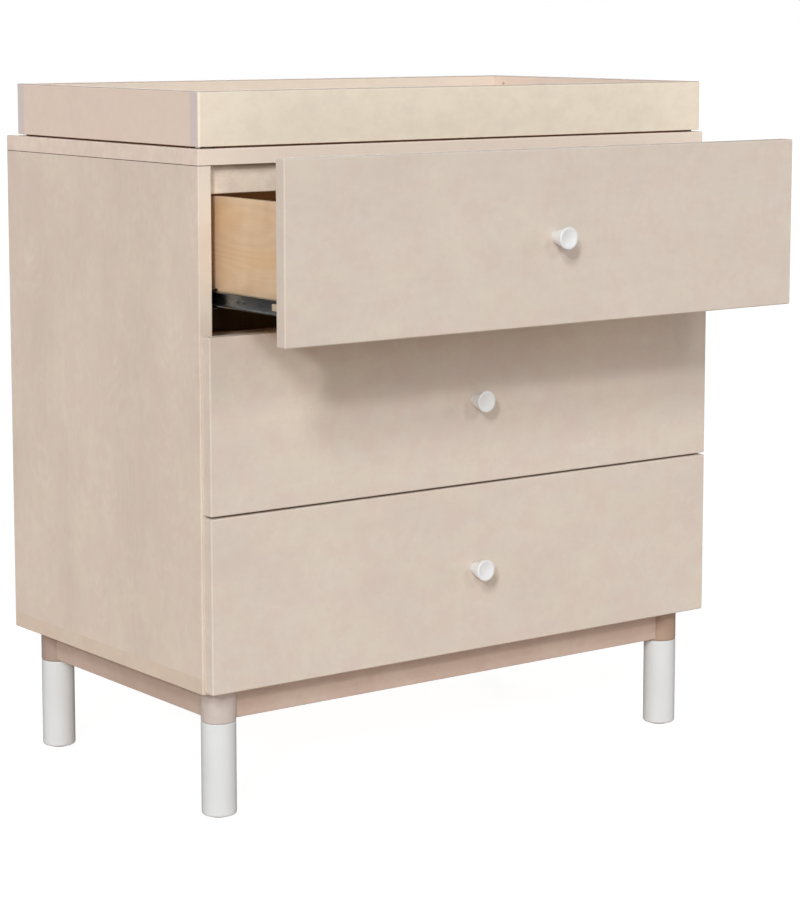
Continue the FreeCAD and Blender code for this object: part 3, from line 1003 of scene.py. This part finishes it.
@dataclass
class Drawer:
    """One drawer: its front, its knob, its box and its screws.

    Attributes:
        name: The drawer's name, which its pieces' names start with.
        shift: The place in the log that its boards were cut from.
        shaded_back_pale: The paler tone of the box's back, a deeper orange that paints the warm
            shade seen inside the case.
        shaded_back_deep: The deeper tone of the box's back, painted shade as well.
        bottom_layers: How many layers the bottom's plywood has.
    """

    name: str
    shift: Point
    shaded_back_pale: Colour = tint(240, 193, 146)
    shaded_back_deep: Colour = tint(222, 168, 118)
    bottom_layers: int = 3

    def dress_front(self, paint: bpy.types.Material) -> None:
        """Finishes the front and its knob.

        Args:
            paint: The knob's finish.
        """
        front = WashedBirch(Grain.ACROSS, self.shift)
        dress(self.name + "_front", front.material(self.name + "_veneer"))
        dress(self.name + "_knob", paint)

    def dress_box(self, zinc: bpy.types.Material) -> None:
        """Finishes the box and the screws.

        Args:
            zinc: The screws' finish.
        """
        for part in ("left_side", "right_side", "box_front", "back"):
            grain = Grain.DEEP if part.endswith("side") else Grain.ACROSS
            shift = tuple(place * 1.7 + len(part) for place in self.shift)
            birch = DrawerBirch(grain, shift)
            # The back's deeper orange is painted shade: the warm shade seen inside the case.
            if part == "back":
                birch = DrawerBirch(grain, shift, self.shaded_back_pale, self.shaded_back_deep, self.shaded_back_deep)
            dress(f"{self.name}_{part}", birch.material(f"{self.name}_{part}_birch"))
        low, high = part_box(self.name + "_bottom")
        layer = (high.z - low.z) / self.bottom_layers
        ply = ThinPly(Grain.ACROSS, self.shift, Grain.UPRIGHT, low.z, layer)
        dress(self.name + "_bottom", ply.material(self.name + "_bottom_ply"))
        dress(self.name + "_screws", zinc)


@dataclass
class Slide:
    """The drawer's half of a pair of slides: two drawer members, their rivets and bumpers.

    Attributes:
        drawer: The drawer's name.
        depth: How far a member reaches out from the drawer's side.
        sheet: The thickness of its steel.
        bend: The outer radius of its bends.
        bend_steps: How many flats a bend has.
        bumper_length: How long a bumper is.
        bumper_height: How high it is.
        bumper_depth: How far it stands off the web.
        bumper_ease: How far its edges are eased.
        rivet_places: How far the rivets sit behind the member's front end.
        rivet_radius: The radius of a rivet's head.
        rivet_height: How high the head is.
        rivet_profile: The head's rounding, as shares of its radius and height.
        rivet_sides: How many sides a head has.
    """

    drawer: str
    depth: float = 0.009
    sheet: float = 0.0012
    bend: float = 0.0016
    bend_steps: int = 5
    bumper_length: float = 0.041
    bumper_height: float = 0.009
    bumper_depth: float = 0.006
    bumper_ease: float = 0.00096
    rivet_places: tuple[float, ...] = (0.112, 0.126, 0.300, 0.420)
    rivet_radius: float = 0.0031
    rivet_height: float = 0.0012
    rivet_profile: tuple[tuple[float, float], ...] = ((1, 0), (1, 0.3), (0.8, 0.8), (0.45, 1))
    rivet_sides: int = 24

    def _bend(self, radius: float, half: float) -> list[tuple[float, float]]:
        """One bend of the upper flange, from the web round to the flange.

        Args:
            radius: The bend's radius, on the inside or the outside of the sheet.
            half: Half the member's height.

        Returns:
            The bend's points.
        """
        turns = (math.radians(90 * step / self.bend_steps) for step in range(self.bend_steps + 1))
        middle = half - self.bend
        return [
            (self.bend - radius * math.cos(turn), middle + radius * math.sin(turn))
            for turn in turns
        ]

    def _outline(self, side: int, height: float) -> list[tuple[float, float]]:
        """The section of a drawer member, from its web out to its flange tips.

        Args:
            side: -1 for the left slide and 1 for the right one.
            height: The member's height.

        Returns:
            The outline's points about the middle of the web.
        """
        half = height / 2
        outer = self._bend(self.bend, half)
        inner = self._bend(self.bend - self.sheet, half)
        upper = outer + [(self.depth, half), (self.depth, half - self.sheet)] + inner[::-1]
        lower = [(x, -z) for x, z in upper]
        return [(side * x, z) for x, z in upper + lower[::-1]]

    def build(self, steel: bpy.types.Material, bumper: bpy.types.Material) -> None:
        """Meshes both drawer members, their rivets and their bumpers.

        Args:
            steel: The members' finish.
            bumper: The bumpers' finish.
        """
        low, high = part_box(self.drawer + "_slides")
        web_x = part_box(self.drawer + "_right_side")[1].x
        middle = (low.z + high.z) / 2
        head = [(self.rivet_radius * r, self.rivet_height * h) for r, h in self.rivet_profile]
        members, stops = Workpiece(), Workpiece()
        for side in (-1, 1):
            web = side * web_x
            outline = self._outline(side, high.z - low.z)
            members.drawn(outline, (web, low.y, middle), high.y - low.y)
            face = web + side * self.sheet
            for place in self.rivet_places:
                foot = (face, low.y + place, middle)
                members.turned(head, foot, (side, 0, 0), self.rivet_sides)
            nose = face + side * self.bumper_depth
            stops.block(
                (min(face, nose), low.y, middle - self.bumper_height / 2),
                (max(face, nose), low.y + self.bumper_length, middle + self.bumper_height / 2),
                self.bumper_ease,
            )
        piece = members.done(self.drawer + "_slide_members", self.drawer, "slide_steel", steel)
        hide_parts(self.drawer + "_slides")
        stops.done(self.drawer + "_slide_bumpers", self.drawer, "grey_nylon", bumper)


@dataclass
class ChangingTray:
    """The tray that stands on the top: four boards, dowels, pads and dark felt strips that paint
    the shade in the gap under it.

    Attributes:
        tones: The paler and deeper tone of each board.
        figure: How strongly the boards' figure shows.
        rim_drop: How far below the top edge the line of painted shade on the eased edge lies.
        rim_shade_tone: That line's tone, a painted shade.
        pad_radius: The radius of a pad.
        pad_reach: How far from a pad's middle a felt strip ends.
        strip_inset: How far a strip is set back from the boards' outer face.
        strip_width: How wide it is.
        strip_height: How thick it is.
        strip_ease: How far its edges are eased.
    """

    tones: dict[str, tuple[Colour, Colour]] = field(
        default_factory=lambda: {
            "front": (tint(255, 248, 230), tint(247, 233, 211)),
            "back": (tint(243, 231, 217), tint(229, 214, 197)),
            "left": (tint(243, 226, 212), tint(225, 203, 188)),
            "right": (tint(241, 225, 211), tint(223, 202, 187)),
        }
    )
    figure: float = 0.26
    rim_drop: float = 0.0007
    rim_shade_tone: Colour = tint(190, 172, 158)
    pad_radius: float = 0.007
    pad_reach: float = 0.0085
    strip_inset: float = 0.004
    strip_width: float = 0.0065
    strip_height: float = 0.0021
    strip_ease: float = 0.0003

    def dress_boards(self) -> None:
        """Finishes the boards, with the end grain of the long ones showing at the sides."""
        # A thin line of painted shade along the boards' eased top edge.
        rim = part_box("tray_front_board")[1].z - self.rim_drop
        for turn, (place, (pale, deep)) in enumerate(self.tones.items()):
            long = place in ("front", "back")
            shift = (1.9 * turn + 2.0, 3.7 * turn + 0.3, 0.6 * turn + 5.1)
            birch = WashedBirch(
                Grain.ACROSS if long else Grain.DEEP,
                shift,
                pale,
                deep,
                figure=self.figure,
                edge=EdgeToneAndLight(Grain.ACROSS) if long else None,
                shade_line=rim,
                shade_line_tone=self.rim_shade_tone,
            )
            dress(f"tray_{place}_board", birch.material(f"tray_{place}_birch"))

    def dress_fittings(self) -> None:
        """Finishes the dowels and the pads."""
        dowel = DrawerBirch(Grain.ACROSS, (5.0, 4.0, 3.0))
        dress("tray_dowels", dowel.material("tray_dowel_beech"))
        # Dark rubber pads, their tone darkened as painted shade of the gap under the tray.
        rubber = MouldedPlastic(tint(98, 84, 72), tint(70, 60, 52), 0.35)
        dress("tray_pads", rubber.material("pad_rubber"))

    def lay_shade_strips(self) -> None:
        """Lays dark felt strips under the boards, between the pads, as painted shade in the gap
        under the tray.
        """
        # Painted shade: dark felt that makes the gap under the tray read black.
        shade_felt = MouldedPlastic(tint(112, 78, 54), tint(86, 58, 40), 0.9)
        front_low, front_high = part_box("tray_front_board")
        back_low, back_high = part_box("tray_back_board")
        half_width, high = front_high.x, front_low.z
        low = high - self.strip_height
        inset, width, ease = self.strip_inset, self.strip_width, self.strip_ease
        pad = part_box("tray_pads")[1].x - self.pad_radius - self.pad_reach
        strips = Workpiece()
        for near in (front_low.y + inset, back_high.y - inset - width):
            for start, end in ((-pad, -self.pad_reach), (self.pad_reach, pad)):
                strips.block((start, near, low), (end, near + width, high), ease)
        start, end = front_high.y + inset, back_low.y - inset
        for near in (-half_width + inset, half_width - inset - width):
            strips.block((near, start, low), (near + width, end, high), ease)
        strips.done("tray_shade_felt_strips", "tray", "pad_rubber", shade_felt.material("painted_shade_felt"))


@dataclass(frozen=True)
class Lamp:
    """A broad, far lamp, given by where it shines from as seen from the dresser.

    Attributes:
        name: The lamp's name.
        turn: Its bearing in degrees, 0 in front and 90 on the right.
        climb: Its height in degrees above the floor.
        level: How bright it makes a white face that it shines on squarely.
        spread: How wide it looks, in degrees.
    """

    name: str
    turn: float
    climb: float
    level: float
    spread: float = 14.0

    def hang(self) -> None:
        """Hangs the lamp."""
        light = bpy.data.lights.new(self.name, "SUN")
        light.energy = math.pi * self.level
        light.angle = math.radians(self.spread)
        lamp = bpy.data.objects.new(self.name, light)
        bpy.context.scene.collection.objects.link(lamp)
        turn, climb = math.radians(self.turn), math.radians(self.climb)
        out = math.cos(climb)
        source = Vector((math.sin(turn) * out, -math.cos(turn) * out, math.sin(climb)))
        lamp.rotation_euler = source.to_track_quat("Z", "Y").to_euler()


LAMPS = (
    Lamp("left_key", -46.0, 34.0, 0.31, 10.0),
    Lamp("left_low_key", -49.0, 23.0, 0.30, 5.0),
    Lamp("right_fill", 12.0, 28.0, 0.13, 12.0),
    Lamp("low_fill", -24.0, 13.0, 0.10),
    Lamp("far_left_fill", -80.0, 12.0, 0.03),
    Lamp("far_right_fill", 60.0, 12.0, 0.09),
    Lamp("high_left_fill", -80.0, 60.0, 0.06),
    Lamp("back_left_fill", -140.0, 16.0, 0.08),
    Lamp("back_right_fill", 150.0, 26.0, 0.12),
)


@dataclass
class Studio:
    """The lamps, the pale floor, the soft sky and the camera.

    Attributes:
        lamps: The lamps.
        camera_place: Where the camera stands.
        camera_turn: How far it looks round to the right of straight ahead, in radians.
        camera_dip: How far it looks down, in radians.
        lens: Its focal length in millimetres.
        rise: How far its picture is shifted, as a share of the picture's long side.
        floor_half: Half the width of the floor.
        paper: What the floor throws back on the dresser.
        dim: The floor's own tone in the picture, under its glow.
        glow: How bright the floor glows in the picture.
        sky: How bright the sky is to matt surfaces.
        sheen: How bright it is in shiny ones.
    """

    lamps: tuple[Lamp, ...] = LAMPS
    camera_place: Point = (-2.22636, -2.97196, 1.04366)
    camera_turn: float = 0.6412
    camera_dip: float = 0.1291
    lens: float = 106.41
    rise: float = -0.10
    floor_half: float = 30.0
    paper: Colour = (0.87, 0.76, 0.70, 1.0)
    dim: Colour = (0.20, 0.20, 0.20, 1.0)
    glow: float = 0.94
    sky: float = 0.11
    sheen: float = 0.30

    def lay_floor(self) -> None:
        """Lays a wide pale floor that keeps a faint shadow of the dresser."""
        h = self.floor_half
        mesh = bpy.data.meshes.new("floor")
        lit_and_shaded_post_tones = [(-h, -h, 0.0), (h, -h, 0.0), (h, h, 0.0), (-h, h, 0.0)]
        mesh.from_pydata(lit_and_shaded_post_tones, [], [(0, 1, 2, 3)])
        floor = bpy.data.objects.new("floor", mesh)
        bpy.context.scene.collection.objects.link(floor)
        g = Graph.for_material("floor_paper")
        paper = g.add("ShaderNodeBsdfDiffuse", None, {"Color": self.paper}).outputs[0]
        dim = g.add("ShaderNodeBsdfDiffuse", None, {"Color": self.dim}).outputs[0]
        light = {"Color": WHITE, "Strength": self.glow}
        glow = g.add("ShaderNodeEmission", None, light).outputs[0]
        seen = g.add("ShaderNodeAddShader", None, {0: dim, 1: glow}).outputs[0]
        rays = g.add("ShaderNodeLightPath").outputs
        mirrored = g.mixed(rays["Is Glossy Ray"], paper, dim)
        g.close(g.mixed(rays["Is Camera Ray"], mirrored, seen))
        mesh.materials.append(g.owner)

    def hang_sky(self) -> None:
        """Makes the world an even soft light that looks white to the camera."""
        world = bpy.data.worlds.new("studio")
        bpy.context.scene.world = world
        g = Graph(world)

        def even(level: float) -> bpy.types.NodeSocket:
            """An even white light of this level."""
            light = {"Color": WHITE, "Strength": level}
            return g.add("ShaderNodeBackground", None, light).outputs[0]

        rays = g.add("ShaderNodeLightPath").outputs
        shown = g.mixed(rays["Is Diffuse Ray"], even(1.0), even(self.sky))
        g.close(g.mixed(rays["Is Glossy Ray"], shown, even(self.sheen)))

    def hang_lamps(self) -> None:
        """Hangs every lamp."""
        for lamp in self.lamps:
            lamp.hang()

    def set_camera(self) -> None:
        """Sets the camera up at the photograph's place."""
        camera = bpy.data.cameras.new("camera")
        camera.lens = self.lens
        camera.shift_y = self.rise
        stand = bpy.data.objects.new("camera", camera)
        bpy.context.scene.collection.objects.link(stand)
        stand.location = self.camera_place
        stand.rotation_euler = (math.pi / 2 - self.camera_dip, 0.0, -self.camera_turn)
        bpy.context.scene.camera = stand


def main() -> None:
    """Builds and dresses the whole dresser, and lights it."""
    bpy.context.scene.view_settings.view_transform = "Standard"
    studio = Studio()
    studio.lay_floor()
    studio.hang_sky()
    studio.hang_lamps()
    studio.set_camera()
    log.info("studio ready")

    case = CaseShell()
    case.dress_panels()
    case.dress_rails()
    case.dress_back()
    log.info("case dressed")

    legs = LegFrame()
    legs.dress_legs()
    legs.dress_rails()
    log.info("leg frame dressed")

    # The knobs' white is paler than the feet's same paint: painted light that lifts the knobs'
    # shade.
    paint = SatinPaint(tint(238, 241, 242), tint(232, 235, 236)).material("knob_paint")
    zinc = PlatedSteel(tint(196, 196, 194), tint(168, 168, 166), 0.28).material("screw_zinc")
    steel = PlatedSteel(tint(140, 141, 141), tint(106, 107, 107)).material("slide_plating")
    dress("slide_case_members", steel)
    cream = MouldedPlastic(tint(207, 191, 165), tint(190, 173, 147), 0.5)
    bumper = cream.material("bumper_plastic")
    shifts = {
        "bottom_drawer": (3.7, 1.2, 6.4),
        "middle_drawer": (8.9, 4.1, 2.3),
        "top_drawer": (1.1, 7.6, 5.2),
    }
    for name, shift in shifts.items():
        drawer = Drawer(name, shift)
        drawer.dress_front(paint)
        drawer.dress_box(zinc)
        dress(name + "_ball_cages", zinc)
        Slide(name).build(steel, bumper)
        log.info("%s dressed", name)

    tray = ChangingTray()
    tray.dress_boards()
    tray.dress_fittings()
    tray.lay_shade_strips()
    log.info("tray dressed")


if __name__ == "__main__":
    logging.basicConfig(level=logging.INFO, format="%(message)s")
    main()
